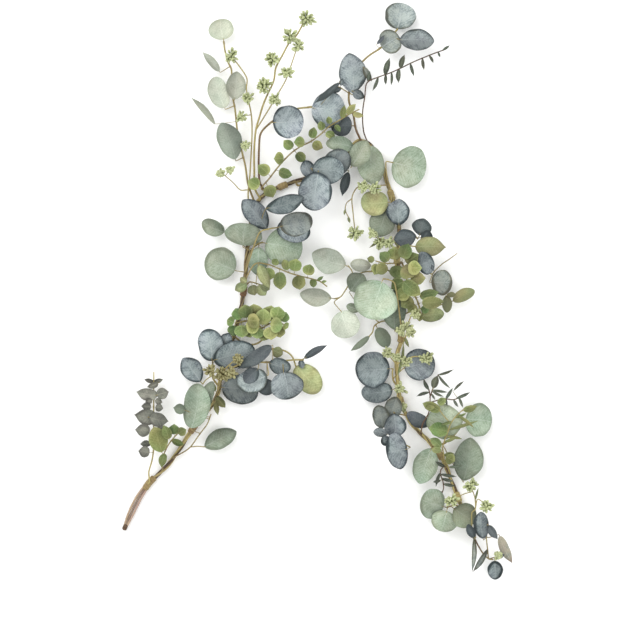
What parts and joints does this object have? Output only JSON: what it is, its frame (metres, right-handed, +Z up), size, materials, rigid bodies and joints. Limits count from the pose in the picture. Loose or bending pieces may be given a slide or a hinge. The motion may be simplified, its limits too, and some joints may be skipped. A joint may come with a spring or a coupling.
{
  "type": "artificial eucalyptus garland",
  "caption": "Artificial eucalyptus garland lying flat in a bent V, with round, narrow and small leaves and seeded sprays on a taped vine.",
  "frame": {"origin": "centre of the garland's outline in plan, on the surface it lies on", "axes": "+Z up from that surface, +Y along the longest extent towards the crown of the bend, +X to the right as seen from above"},
  "size_m": [0.7029, 1.039, 0.0956],
  "materials": {
    "vine_tape": "matt",
    "blue_leaf": "satin",
    "mint_leaf": "satin",
    "pale_leaf": "satin",
    "green_leaf": "satin",
    "olive_leaf": "satin",
    "mauve_leaf": "satin",
    "dark_leaf": "satin",
    "seed_green": "matt"
  },
  "bodies": {
    "root": {"main_vine": "vine_tape", "silver_dollar_spray_pale": "pale_leaf", "seeded_spray_left": "seed_green", "seeded_spray_crown": "seed_green", "silver_dollar_spray_blue_top_right": "blue_leaf", "narrow_leaf_twig_top": "dark_leaf", "silver_dollar_spray_blue_crown": "blue_leaf", "baby_spray_crown": "green_leaf", "silver_dollar_spray_mint_crown": "mint_leaf", "silver_dollar_leaf_mint_right": "mint_leaf", "silver_dollar_spray_blue_cross": "blue_leaf", "silver_dollar_spray_blue_left": "blue_leaf", "silver_dollar_spray_mint_left": "mint_leaf", "silver_dollar_spray_grey_left": "blue_leaf", "baby_spray_left": "green_leaf", "baby_spray_grey": "olive_leaf", "baby_spray_left_middle": "green_leaf", "silver_dollar_spray_olive_inner": "olive_leaf", "silver_dollar_spray_blue_knee": "blue_leaf", "silver_dollar_spray_blue_inner": "blue_leaf", "seeded_spray_knee": "seed_green", "silver_dollar_spray_mint_low": "mint_leaf", "baby_spray_mauve": "mauve_leaf", "baby_spray_low": "green_leaf", "silver_dollar_spray_grey_top_right": "mint_leaf", "silver_dollar_spray_olive_top_right": "olive_leaf", "seeded_spray_top_right": "seed_green", "seeded_spray_right_shoulder": "seed_green", "silver_dollar_spray_blue_shoulder": "blue_leaf", "olive_leaf_spray_right": "olive_leaf", "silver_dollar_spray_blue_right": "blue_leaf", "olive_leaf_spray_right_low": "olive_leaf", "silver_dollar_spray_mint_centre": "pale_leaf", "silver_dollar_spray_grey_centre": "mint_leaf", "baby_spray_right": "green_leaf", "silver_dollar_leaf_mint_centre": "mint_leaf", "seeded_spray_right": "seed_green", "silver_dollar_spray_blue_right_leg": "blue_leaf", "seeded_spray_right_leg": "seed_green", "silver_dollar_spray_blue_right_low": "blue_leaf", "silver_dollar_spray_mint_right_leg": "mint_leaf", "narrow_leaf_twig_right_leg": "dark_leaf", "baby_spray_right_leg": "green_leaf", "narrow_leaf_twig_right_low": "dark_leaf", "silver_dollar_spray_mint_right_low": "mint_leaf", "seeded_spray_right_low": "seed_green", "silver_dollar_spray_blue_tail": "blue_leaf"}
  },
  "joints": []
}
